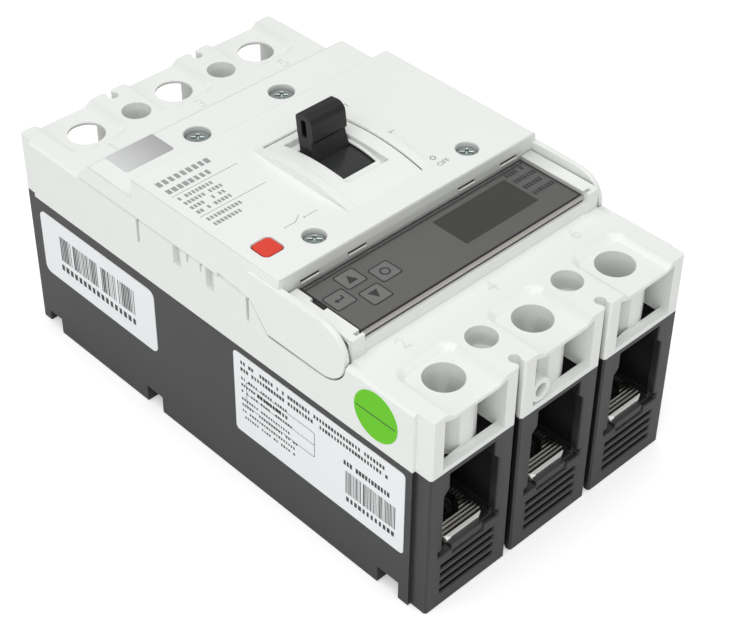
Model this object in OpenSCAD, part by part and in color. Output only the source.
// Three-pole molded case circuit breaker with an electronic trip unit.
// Millimetres, +Z out of the mounting plate toward the operator.
// X runs across the poles, +Y points to the line end, -Y to the load end.
// Origin: centre of the mounting face on the back of the base.

/* [Case] */
// distance between pole centres
pole_pitch = 30; // [27:0.5:36]
// width of the slots between the poles
slot_w = 2; // [1.5:0.1:3]
// length of the case along the poles
case_l = 154; // [150:1:185]
// height of the dark base, up to the parting line
base_h = 45; // [42:1:55]
// height of the white main cover above the base
cover_h = 18; // [16:0.5:22]

/* [Operating panel] */
// height of the low strip above the main cover
strip_h = 5.3; // [4:0.1:7]
// height of the raised operating panel above the main cover
panel_h = 10.5; // [9.5:0.1:13]
// length of the raised panel
panel_l = 54.8; // [52:0.2:60]
// height of the display unit above the main cover
display_h = 6; // [5.6:0.1:7]

/* [Handle] */
// width of the toggle handle
handle_w = 11.6; // [9:0.2:13]
// reach of the handle above the raised panel
handle_rise = 12; // [9:0.5:16]
// lean of the handle from the upright in the ON position
handle_lean = 7; // [5:0.5:8]

/* [Terminals] */
// distance from the middle of the case to the terminal screw holes
access_y = 66.5; // [65.5:0.5:67.5]
// diameter of the access hole over each terminal
access_d = 10.3; // [8:0.1:11]
// diameter of the threaded hole in each terminal plate
thread_d = 6.8; // [5:0.1:8]
// thickness of each terminal plate
plate_t = 2.4; // [2:0.1:3.4]

/* [Fixing holes] */
// distance between the fixing holes along the case
fix_span = 128; // [126:1:130]
// diameter of the fixing holes
fix_d = 4.6; // [4:0.1:5]
// diameter of the recess for the head of the fixing screw
fix_head_d = 8.1; // [7:0.1:8.4]

/* [Hidden] */
$fn = 64;
// how far a cutting tool runs past the face that it leaves
over = 1;
gap = 0.3;
// plan of the case
half_l = case_l / 2;
pole_w = pole_pitch - slot_w;
case_w = 3 * pole_pitch;
half_w = case_w / 2;
pole_half = pole_w / 2;
end_half = pole_pitch + pole_half;
slot_l = 5;
barrier_l = 4.2;
root_r = slot_w / 2 + 0.5;
deck_z = base_h + cover_h;
edge_c = 0.7;
poles = [-pole_pitch, 0, pole_pitch];
ends = [-1, 1];
sides = [-1, 1];
// terminal chambers in the base
mouth_half = pole_half - 4.8;
mouth_step_half = mouth_half - 1.7;
mouth_z0 = 17.5;
mouth_z1 = base_h - 1.6;
mouth_step_z = base_h - 6.2;
front_wall = 2.6;
chamber_half = pole_half - 3;
chamber_l = 24;
seat_z = 15.5;
carrier_half = 5.4;
// terminal plates
plate_half = 6.9;
plate_in = 1.5;
plate_r = 2.3;
plate_c = 0.6;
rib_n = 13;
rib_pitch = 1.05;
rib_half = 0.33;
rib_from = 1.5;
seat_r = 5.1;
notch_out = 1.2;
notch_h = 1.6;
louvre_n = 4;
louvre_pitch = 2.8;
louvre_z0 = 4.2;
louvre_h = 1.2;
louvre_l = 3;
// recesses along the lower edges of the base
foot_in = 8;
foot_h = 5;
feet_y = [[66.5, 73.4], [21.4, 27.8], [-68.6, -61.4]];
// deck recess round each access hole
dish_half = pole_half - 4.5;
dish_slope = 2.2;
dish_d = 1.6;
dish_root = 58;
dish_r = 4.2;
dish_z = deck_z - dish_d;
// windows in the ends of the main cover
win_half = pole_half - 3.8;
win_z0 = base_h + 1.6;
win_top = 1;
win_l = 17;
sill_l = 2.6;
tube_r = access_d / 2 + 2.9;
fix_head_h = 5.8;
boss_r = 3.3;
boss_hole_r = 1.9;
boss_x = -7.6;
boss_z = base_h + 5.4;
boss_l = 7;
// narrow latch pockets, wider clip pockets and small nicks along both sides
latch_y = [-16.6, 25.3];
latch_w = 1.1;
latch_d = 1.6;
latch_h = 7.5;
clip_y = [-3.6, 9];
clip_w = 3;
clip_d = 1.8;
clip_h = 6;
nick_y = [0.9, 5.9];
nick_w = 0.7;
nick_d = 1;
nick_h = 2.6;
// raised panel and low strip
strip_z = deck_z + strip_h;
panel_z = deck_z + panel_h;
panel_y0 = -26.6;
panel_y1 = panel_y0 + panel_l;
strip_y1 = panel_y1 + 17.9;
strip_foot = panel_y1 + 22.6;
draft = 0.8;
// slots in the front wall of the panel and a pry slot under each side
hook_x = [16, 31.4];
hook_w = 5.8;
hook_d = 1.5;
hook_h = 0.7;
pry_y0 = -13.6;
pry_y1 = -5.2;
pry_d = 1;
pry_h = 0.8;
// wings beside the display unit
wing_t = 1.8;
wing_r = 7.85;
wing_y = -41.9;
wing_z = deck_z + 0.2;
ramp_y0 = -17;
ramp_y1 = -23.4;
// handle, its pivot and its curved slide
pivot_y = 1;
pivot_z = panel_z - 36.5;
slide_r = 36.1;
slide_t = 1.5;
slide_half = 14.5;
slide_w = handle_w + 2.4;
well_half = handle_w / 2 + 0.3;
well_y0 = -7.2;
well_y1 = 9.4;
neck_t = 5;
head_t = 5.8;
head_from = 5.2;
neck_in = 0.8;
near_r = 2.6;
far_r = 1.2;
grip_hole_w = 1.8;
grip_hole_l = 5;
grip_hole_d = 3;
pad_r = 65;
pad_y = -0.8;
pad_rise = 2.5;
pad_half = 14.1;
mid_r = 70;
mid_y = -1.5;
mid_rise = 1.9;
mid_half = 11.5;
mid_y0 = -18.3;
mid_y1 = 16.4;
channel_half = 6.8;
channel_r = slide_r + 0.95;
channel_y0 = -10.4;
channel_y1 = 12.7;
// cover screws
strip_screws = [[-14.7, 38.3], [14.7, 38.3]];
panel_screws = [[26.3, -19.4], [-26.3, -19.4]];
strip_screw_r = 3.2;
panel_screw_r = 2.6;
screw_fit = 0.35;
screw_head = 2;
screw_shank_r = 1.5;
screw_bite = 4;
screw_sink = 1.3;
cross_w = 0.8;
cross_l = 3.4;
cross_d = 1;
// trip button
button_x = -half_w + 7.7;
button_y = -15;
button_w = 5.8;
button_r = 1.2;
button_l = 6;
button_gap = 0.25;
button_travel = 1.2;
button_low = 0.2;
// display unit
cheek_out = half_w - wing_t - gap;
cheek_in = half_w - 6.3;
disp_y0 = -49.8;
disp_y1 = panel_y0 - 0.3;
disp_z = deck_z + display_h;
floor_t = 1.5;
lip_y = -49.3;
lip_t = 1.3;
lip_h = 3.4;
label_t = 3.3;
label_in = 0.35;
label_y = -47.3;
flap_t = 0.9;
flap_y = -48.4;
flap_z = disp_z - flap_t / 2;
hinge_r = 0.4;
hinge_l = 1.6;
hinge_hole_r = 0.7;
flap_half = cheek_in - gap;
notch_d = 0.9;
notch_y0 = -37.3;
notch_y1 = -32.5;
pivot_mark_y = -47.8;
pivot_mark_r = 0.9;
pivot_mark_d = 0.6;
pivot_mark_drop = 1.65;
lcd = [3.2, 29.05, -41.7, -30];
lcd_t = 0.12;
keys = [[-33.7, -36.1], [-26.6, -32.1], [-18.6, -35.7], [-26.1, -40.3]];
key_w = 6.6;
key_d = 6.2;
key_t = 0.12;
// label plates and stickers
sticker_t = 0.2;
emblem = [-39, -23.5, 37, 46];

// ---- shared shapes ----

// Prism standing on z0, cut from the plan of the case: pole blocks at both ends,
// barrier slots between them and half slots along the outer corners.
module case_prism(z0, z1) {
    h = z1 - z0;
    difference() {
        union() {
            translate([-end_half, -half_l, z0]) cube([2 * end_half, case_l, h]);
            translate([-half_w, -half_l + slot_l, z0])
                cube([case_w, case_l - 2 * slot_l, h]);
        }
        for (s = ends) {
            for (x = [-pole_pitch / 2, pole_pitch / 2]) {
                barrier_slot(x, s, z0, h);
            }
            for (x = poles, side = sides) {
                corner_cut(x + side * pole_half, s, z0, h);
            }
        }
    }
}

// Slot for a phase barrier, with a round root that holds the barrier.
module barrier_slot(x, s, z0, h) {
    y_end = s * (half_l + over);
    y_root = s * (half_l - barrier_l + root_r);
    translate([x - slot_w / 2, min(y_end, y_root), z0 - over])
        cube([slot_w, abs(y_end - y_root), h + 2 * over]);
    translate([x, y_root, z0 - over]) cylinder(r = root_r, h = h + 2 * over);
}

// Small bevel on the upright corner of a pole block.
module corner_cut(x, s, z0, h) {
    translate([x, s * half_l, z0 - over]) rotate([0, 0, 45])
        translate([-edge_c / 2, -edge_c / 2, 0]) cube([edge_c, edge_c, h + 2 * over]);
}

// Prism along Y from y0 to y1 with a profile given as [x, z] points.
module along_y(y0, y1, pts) {
    translate([0, y1, 0]) rotate([90, 0, 0]) linear_extrude(height = y1 - y0) polygon(pts);
}

// Prism along X from x0 to x1 with a profile given as [y, z] points.
module along_x(x0, x1, pts) {
    translate([x0, 0, 0]) rotate([90, 0, 90]) linear_extrude(height = x1 - x0) polygon(pts);
}

// Box between two corners.
module box(a, b) {
    translate(a) cube([b[0] - a[0], b[1] - a[1], b[2] - a[2]]);
}

// Block standing on z0 with rounded upright corners, centred on x and y.
module rounded_block(x, y, w, d, r, z0, z1) {
    translate([x, y, z0]) {
        translate([-w / 2 + r, -d / 2, 0]) cube([w - 2 * r, d, z1 - z0]);
        translate([-w / 2, -d / 2 + r, 0]) cube([w, d - 2 * r, z1 - z0]);
        for (i = sides, j = sides) {
            translate([i * (w / 2 - r), j * (d / 2 - r), 0]) cylinder(r = r, h = z1 - z0);
        }
    }
}

// Rod along X.
module rod_x(x0, x1, y, z, r) {
    translate([x0, y, z]) rotate([0, 90, 0]) cylinder(r = r, h = x1 - x0);
}

// ---- dark base ----

// Room for one terminal, drawn at the load end; s turns it to the other end.
module chamber(x, s) {
    translate([x, 0, 0]) scale([1, -s, 1]) {
        along_y(-half_l - over, -half_l + front_wall + 0.01, [
            [-mouth_half, mouth_z0], [mouth_half, mouth_z0],
            [mouth_half, mouth_step_z - 1.7], [mouth_step_half, mouth_step_z],
            [mouth_step_half, mouth_z1], [-mouth_step_half, mouth_z1],
            [-mouth_step_half, mouth_step_z], [-mouth_half, mouth_step_z - 1.7]]);
        box([-chamber_half, -half_l + front_wall, mouth_z0],
            [chamber_half, -half_l + front_wall + chamber_l, base_h + over]);
        box([-mouth_half - notch_out, -half_l - over, mouth_z0 - 0.3],
            [mouth_half + notch_out, -half_l + 1.5, mouth_z0 + notch_h]);
        box([-carrier_half, -half_l - over, seat_z],
            [carrier_half, -half_l + front_wall + chamber_l, mouth_z0 + over]);
        for (i = [0 : louvre_n - 1]) {
            box([-mouth_half, -half_l - over, louvre_z0 + i * louvre_pitch],
                [mouth_half, -half_l + louvre_l, louvre_z0 + i * louvre_pitch + louvre_h]);
        }
    }
}

module base() color([0.29, 0.29, 0.30]) difference() {
    case_prism(0, base_h);
    for (x = poles, s = ends) chamber(x, s);
    for (x = [-pole_pitch / 2, pole_pitch / 2], s = ends) {
        translate([x, s * fix_span / 2, -over]) cylinder(d = fix_d, h = base_h + 2 * over);
    }
    for (side = sides, f = feet_y) {
        side_box(side, half_w - foot_in, half_w + over, f[0], f[1], -over, foot_h);
    }
}

// ---- white main cover ----

// Shallow dish in the deck round one access hole, open toward the end of the case.
module dish(x, s) {
    low_half = dish_half - dish_slope;
    low_r = dish_r - dish_slope;
    mid_y = -dish_root - dish_r;
    translate([x, 0, 0]) scale([1, -s, 1]) {
        along_y(-half_l - over, mid_y, [
            [-dish_half, deck_z], [-dish_half, deck_z + over], [dish_half, deck_z + over],
            [dish_half, deck_z], [low_half, dish_z], [-low_half, dish_z]]);
        along_x(-low_half + low_r, low_half - low_r, [
            [mid_y - over, deck_z + over], [-dish_root, deck_z + over],
            [-dish_root, deck_z], [-dish_root - dish_slope, dish_z],
            [mid_y - over, dish_z]]);
        for (side = sides) {
            translate([side * (low_half - low_r), mid_y, dish_z])
                cylinder(r1 = low_r, r2 = dish_r, h = dish_d);
            translate([side * (low_half - low_r), mid_y, deck_z])
                cylinder(r = dish_r, h = over);
        }
    }
}

// Opening in the end of the cover for one pole; its top follows the dish.
module end_window(x, s) {
    translate([x, 0, 0]) scale([1, -s, 1])
        along_y(-half_l - over, -half_l + win_l, [
            [-win_half, win_z0], [win_half, win_z0], [win_half, deck_z - win_top - 0.6],
            [dish_half - dish_slope, dish_z - win_top],
            [-dish_half + dish_slope, dish_z - win_top],
            [-win_half, deck_z - win_top - 0.6]]);
    translate([x, 0, 0]) scale([1, -s, 1])
        box([-win_half, -half_l + sill_l, base_h - over],
            [win_half, -half_l + win_l, win_z0 + over]);
}

// Pocket in the upper edge of a cover side, w wide and h high.
module side_pocket(side, y, w, depth, h) {
    x0 = side * (half_w + over);
    x1 = side * (half_w - depth);
    box([min(x0, x1), y, deck_z - h], [max(x0, x1), y + w, deck_z + over]);
}

// Box between x0 and x1 on one side of the middle plane, or mirrored to the other side.
module side_box(side, x0, x1, y0, y1, z0, z1) {
    box([min(side * x0, side * x1), y0, z0], [max(side * x0, side * x1), y1, z1]);
}

// Plan of a wing with a rounded end, grown by g, running along X from x0 to x1.
module wing_shape(x0, x1, g) {
    rod_x(x0, x1, wing_y, wing_z, wing_r + g);
    along_x(x0, x1, [
        [wing_y, wing_z - wing_r - g], [ramp_y1 + g / 2, wing_z - wing_r - g],
        [ramp_y0 + 1.3 * g, wing_z], [ramp_y0 + 1.3 * g, wing_z + wing_r + g],
        [wing_y, wing_z + wing_r + g]]);
}

module main_cover() color([0.93, 0.94, 0.93]) difference() {
    intersection() {
        case_prism(base_h, deck_z);
        along_y(-half_l - over, half_l + over, [
            [-half_w - over, base_h], [half_w + over, base_h],
            [half_w + over, deck_z - edge_c - over], [half_w - edge_c, deck_z],
            [-half_w + edge_c, deck_z], [-half_w - over, deck_z - edge_c - over]]);
    }
    for (x = poles, s = ends) {
        dish(x, s);
        difference() {
            end_window(x, s);
            if (s < 0) {
                translate([x, s * access_y, base_h - over])
                    cylinder(r = tube_r, h = cover_h + over);
            }
            if (s < 0 && x == 0) {
                translate([boss_x, -half_l - over, boss_z]) rotate([-90, 0, 0])
                    cylinder(r = boss_r, h = boss_l + over);
            }
        }
        translate([x, s * access_y, base_h - 2 * over]) cylinder(d = access_d, h = cover_h + over * 4);
    }
    translate([boss_x, -half_l - over, boss_z]) rotate([-90, 0, 0])
        cylinder(r = boss_hole_r, h = boss_l);
    for (x = [-pole_pitch / 2, pole_pitch / 2], s = ends) {
        translate([x, s * fix_span / 2, base_h - over]) cylinder(d = fix_d, h = cover_h);
        translate([x, s * fix_span / 2, deck_z - fix_head_h])
            cylinder(d = fix_head_d, h = fix_head_h + over);
    }
    for (side = sides) {
        wing_shape(min(side * (half_w + over), side * (half_w - wing_t - gap)),
            max(side * (half_w + over), side * (half_w - wing_t - gap)), gap);
        for (y = latch_y) side_pocket(side, y, latch_w, latch_d, latch_h);
        for (y = clip_y) side_pocket(side, y, clip_w, clip_d, clip_h);
        for (y = nick_y) side_pocket(side, y, nick_w, nick_d, nick_h);
    }
    for (p = concat(strip_screws, panel_screws)) {
        translate([p[0], p[1], deck_z - screw_bite - gap])
            cylinder(r = screw_shank_r + 0.1, h = screw_bite + gap + over);
    }
    slide_pocket();
}

// ---- white auxiliary cover with the operating panel ----

// Curved room under the panel for the handle and its slide.
module slide_pocket() {
    intersection() {
        rod_x(-slide_w / 2 - gap, slide_w / 2 + gap, pivot_y, pivot_z, slide_r + gap);
        box([-slide_w, pivot_y - 21, deck_z - 4], [slide_w, pivot_y + 21, panel_z + over]);
    }
}

module panel_body() {
    intersection() {
        along_x(-half_w, half_w, [
            [panel_y0, deck_z], [strip_foot, deck_z], [strip_y1, strip_z],
            [panel_y1, strip_z], [panel_y1, panel_z], [panel_y0, panel_z]]);
        along_y(panel_y0, strip_foot, [
            [-half_w, deck_z], [half_w, deck_z], [half_w - draft, panel_z],
            [-half_w + draft, panel_z]]);
    }
}

// Raised arch with a rim along both sides of the handle.
module handle_pad() {
    intersection() {
        rod_x(-pad_half, pad_half, pad_y, panel_z + pad_rise - pad_r, pad_r);
        box([-half_w, -half_w, panel_z - over], [half_w, half_w, panel_z + pad_rise + over]);
    }
}

// Room between the rims, with a deeper channel round the handle.
module pad_recess() {
    difference() {
        box([-mid_half, mid_y0, panel_z - over], [mid_half, mid_y1, panel_z + pad_rise + over]);
        rod_x(-half_w, half_w, mid_y, panel_z + mid_rise - mid_r, mid_r);
    }
    difference() {
        box([-channel_half, channel_y0, strip_z],
            [channel_half, channel_y1, panel_z + pad_rise + over]);
        rod_x(-half_w, half_w, pivot_y, pivot_z, channel_r);
    }
}

module wing(side) {
    x0 = side * half_w;
    x1 = side * (half_w - wing_t);
    difference() {
        wing_shape(min(x0, x1), max(x0, x1), 0);
        box([-half_w - over, ramp_y0 - 10, deck_z + 0.2 + wing_r - 0.01],
            [half_w + over, ramp_y0 + over, panel_z]);
    }
}

module screw_hole(p, z, r) {
    translate([p[0], p[1], z - screw_sink - screw_head])
        cylinder(r = r + screw_fit, h = screw_sink + screw_head + over);
    translate([p[0], p[1], deck_z - over]) cylinder(r = screw_shank_r + 0.1, h = z - deck_z);
}

module aux_cover() color([0.94, 0.95, 0.94]) difference() {
    union() {
        panel_body();
        handle_pad();
        for (side = sides) wing(side);
    }
    pad_recess();
    slide_pocket();
    box([-well_half, well_y0, deck_z], [well_half, well_y1, panel_z + pad_rise + over]);
    for (p = strip_screws) screw_hole(p, strip_z, strip_screw_r);
    for (p = panel_screws) screw_hole(p, panel_z, panel_screw_r);
    rounded_block(button_x, button_y, button_w + 2 * button_gap, button_w + 2 * button_gap,
        button_r + button_gap, deck_z - over, panel_z + over);
    for (side = sides) {
        for (x = hook_x) {
            side_box(side, x, x + hook_w, panel_y0 - over, panel_y0 + hook_d,
                disp_z, disp_z + hook_h);
        }
        side_box(side, half_w - pry_d, half_w + over, pry_y0, pry_y1,
            deck_z - over, deck_z + pry_h);
    }
}

// ---- display unit ----

module display_frame() color([0.90, 0.92, 0.90]) difference() {
    union() {
        box([-cheek_out, disp_y0 + 0.5, deck_z], [cheek_out, disp_y1, deck_z + floor_t]);
        for (side = sides) {
            side_box(side, cheek_in, cheek_out, disp_y0, disp_y1, deck_z, disp_z);
        }
        box([-cheek_in, lip_y, deck_z], [cheek_in, lip_y + lip_t, deck_z + lip_h]);
    }
    for (side = sides) {
        rod_x(min(side * (cheek_in - over), side * (cheek_in + hinge_l + 0.4)),
            max(side * (cheek_in - over), side * (cheek_in + hinge_l + 0.4)),
            flap_y, flap_z, hinge_hole_r);
    }
    box([-cheek_in - notch_d, notch_y0, deck_z + floor_t], [-cheek_in + over, notch_y1, disp_z + over]);
    for (side = sides) {
        translate([side * cheek_out, pivot_mark_y, flap_z - pivot_mark_drop]) rotate([0, 90, 0])
            cylinder(r = pivot_mark_r, h = 2 * pivot_mark_d, center = true);
    }
}

module label_plate() color([0.42, 0.42, 0.41]) {
    box([-cheek_in + label_in, label_y, deck_z + floor_t],
        [cheek_in - label_in, disp_y1 - label_in, deck_z + floor_t + label_t]);
}

module lcd_screen() color([0.27, 0.27, 0.25]) {
    box([lcd[0], lcd[2], deck_z + floor_t + label_t],
        [lcd[1], lcd[3], deck_z + floor_t + label_t + lcd_t]);
}

module key(i) color([0.50, 0.50, 0.49]) {
    z = deck_z + floor_t + label_t;
    box([keys[i][0] - key_w / 2, keys[i][1] - key_d / 2, z],
        [keys[i][0] + key_w / 2, keys[i][1] + key_d / 2, z + key_t]);
}
module back_key() key(0);
module up_key() key(1);
module enter_key() key(2);
module down_key() key(3);

module window_flap() color([0.32, 0.32, 0.31]) {
    box([-flap_half, flap_y, disp_z - flap_t], [flap_half, disp_y1 - 0.1, disp_z]);
    rod_x(-flap_half, flap_half, flap_y, flap_z, flap_t / 2);
    rod_x(-flap_half - hinge_l, flap_half + hinge_l, flap_y, flap_z, hinge_r);
}

// ---- handle ----

// Places a shape drawn upright over the pivot in the ON position.
module leaned() {
    translate([0, pivot_y, pivot_z]) rotate([-handle_lean, 0, 0]) children();
}

module handle() color([0.12, 0.12, 0.13]) {
    top = panel_z + handle_rise - pivot_z;
    foot = slide_r + 0.5;
    head = panel_z + head_from - pivot_z;
    leaned() difference() {
        along_x(-handle_w / 2, handle_w / 2, [
            [-neck_t / 2 - 0.8, foot - 1], [neck_t / 2, foot - 1],
            [head_t / 2, head + 1],
            for (a = [0 : 15 : 90]) [head_t / 2 - far_r + far_r * cos(a), top - far_r + far_r * sin(a)],
            for (a = [90 : 10 : 180])
                [-head_t / 2 + near_r + near_r * cos(a), top - near_r + near_r * sin(a)],
            [-head_t / 2, head], [-head_t / 2 + neck_in, head - 1],
            [-neck_t / 2, foot + 2]]);
        rod_x(-slide_w, slide_w, 0, 0, slide_r);
        translate([-handle_w / 2 - over, 0.2, (head + top) / 2 - 0.4])
            rotate([0, 90, 0]) linear_extrude(height = grip_hole_d + over)
                polygon([[-grip_hole_l / 2, -grip_hole_w / 2], [grip_hole_l / 2, -grip_hole_w / 2],
                    [grip_hole_l / 2, grip_hole_w / 2], [-grip_hole_l / 2, grip_hole_w / 2]]);
    }
}

module handle_slide() color([0.14, 0.14, 0.15]) {
    leaned() difference() {
        intersection() {
            rod_x(-slide_w / 2, slide_w / 2, 0, 0, slide_r);
            box([-slide_w, -slide_half, slide_r / 2], [slide_w, slide_half, slide_r + over]);
        }
        rod_x(-slide_w, slide_w, 0, 0, slide_r - slide_t);
    }
}

// ---- trip button ----

module trip_button() color([0.85, 0.20, 0.16]) {
    z1 = panel_z - button_low;
    rounded_block(button_x, button_y, button_w, button_w, button_r, z1 - button_l, z1);
}

// ---- cover screws ----

module screw(p, z, r) color([0.80, 0.81, 0.80]) {
    top = z - screw_sink;
    difference() {
        union() {
            translate([p[0], p[1], top - screw_head]) cylinder(r = r, h = screw_head);
            translate([p[0], p[1], deck_z - screw_bite])
                cylinder(r = screw_shank_r, h = top - screw_head - deck_z + screw_bite + 0.01);
        }
        for (a = [45, 135]) {
            translate([p[0], p[1], top - cross_d]) rotate([0, 0, a])
                translate([-cross_l / 2, -cross_w / 2, 0]) cube([cross_l, cross_w, cross_d + over]);
        }
    }
}
module strip_screw_left() screw(strip_screws[0], strip_z, strip_screw_r);
module strip_screw_right() screw(strip_screws[1], strip_z, strip_screw_r);
module panel_screw_right() screw(panel_screws[0], panel_z, panel_screw_r);
module panel_screw_left() screw(panel_screws[1], panel_z, panel_screw_r);

// ---- terminals ----

// Ribbed plate with rounded front corners and a threaded hole; its inner end meets
// the back of the chamber.
module terminal(x, s) color([0.66, 0.65, 0.60]) {
    z0 = mouth_z0 + gap;
    z1 = z0 + plate_t;
    y_in = half_l - front_wall - chamber_l;
    y_out = half_l - plate_in;
    translate([x, 0, 0]) scale([1, s, 1]) difference() {
        intersection() {
            rounded_block(0, (y_in - plate_r + y_out) / 2, 2 * plate_half,
                y_out - y_in + plate_r, plate_r, z0, z1);
            along_x(-plate_half, plate_half, [
                [y_in, z0], [y_out, z0], [y_out, z1 - plate_c], [y_out - plate_c, z1], [y_in, z1]]);
        }
        translate([0, access_y, z0 - over]) cylinder(d = thread_d, h = plate_t + 2 * over);
        for (i = [0 : rib_n - 1]) terminal_rib(y_out - rib_from - i * rib_pitch, z1);
    }
}

// Groove across a terminal plate, left out round the screw seat.
module terminal_rib(y, z) {
    difference() {
        along_x(-plate_half - over, plate_half + over, [
            [y - rib_half, z + 0.01], [y, z - rib_half], [y + rib_half, z + 0.01]]);
        translate([0, access_y, z - over]) cylinder(r = seat_r, h = 2 * over);
    }
}
module line_terminal_1() terminal(-pole_pitch, 1);
module line_terminal_3() terminal(0, 1);
module line_terminal_5() terminal(pole_pitch, 1);
module load_terminal_2() terminal(-pole_pitch, -1);
module load_terminal_4() terminal(0, -1);
module load_terminal_6() terminal(pole_pitch, -1);

// Block under a terminal plate that holds its nut.
module nut_carrier(x, s) color([0.25, 0.25, 0.26]) {
    translate([x, 0, 0]) scale([1, s, 1]) difference() {
        box([-carrier_half, half_l - front_wall - chamber_l, seat_z],
            [carrier_half, half_l - 0.4, mouth_z0 + gap]);
        translate([0, access_y, seat_z - over])
            cylinder(d = thread_d + 0.8, h = mouth_z0 + gap - seat_z + 2 * over);
    }
}
module line_nut_carrier_1() nut_carrier(-pole_pitch, 1);
module line_nut_carrier_3() nut_carrier(0, 1);
module line_nut_carrier_5() nut_carrier(pole_pitch, 1);
module load_nut_carrier_2() nut_carrier(-pole_pitch, -1);
module load_nut_carrier_4() nut_carrier(0, -1);
module load_nut_carrier_6() nut_carrier(pole_pitch, -1);

// ---- plates and stickers ----

module emblem_plate() color([0.45, 0.46, 0.47]) {
    box([emblem[0], emblem[2], strip_z], [emblem[1], emblem[3], strip_z + sticker_t]);
}

module serial_sticker() color([0.96, 0.97, 0.97]) {
    box([-half_w - sticker_t, 21.4, base_h - 24], [-half_w, 70.4, base_h - 3.2]);
}

module data_sticker() color([0.96, 0.97, 0.97]) {
    box([-half_w - sticker_t, -70, base_h - 28.5], [-half_w, -10, base_h - 2]);
}

module check_sticker() color([0.30, 0.78, 0.20]) {
    translate([-half_w, -60, base_h + 9.4]) rotate([0, -90, 0])
        cylinder(r = 7, h = sticker_t);
}

base();
main_cover();
aux_cover();
display_frame();
label_plate();
lcd_screen();
back_key();
up_key();
enter_key();
down_key();
window_flap();
handle();
handle_slide();
trip_button();
strip_screw_left();
strip_screw_right();
panel_screw_right();
panel_screw_left();
line_terminal_1();
line_terminal_3();
line_terminal_5();
load_terminal_2();
load_terminal_4();
load_terminal_6();
line_nut_carrier_1();
line_nut_carrier_3();
line_nut_carrier_5();
load_nut_carrier_2();
load_nut_carrier_4();
load_nut_carrier_6();
emblem_plate();
serial_sticker();
data_sticker();
check_sticker();
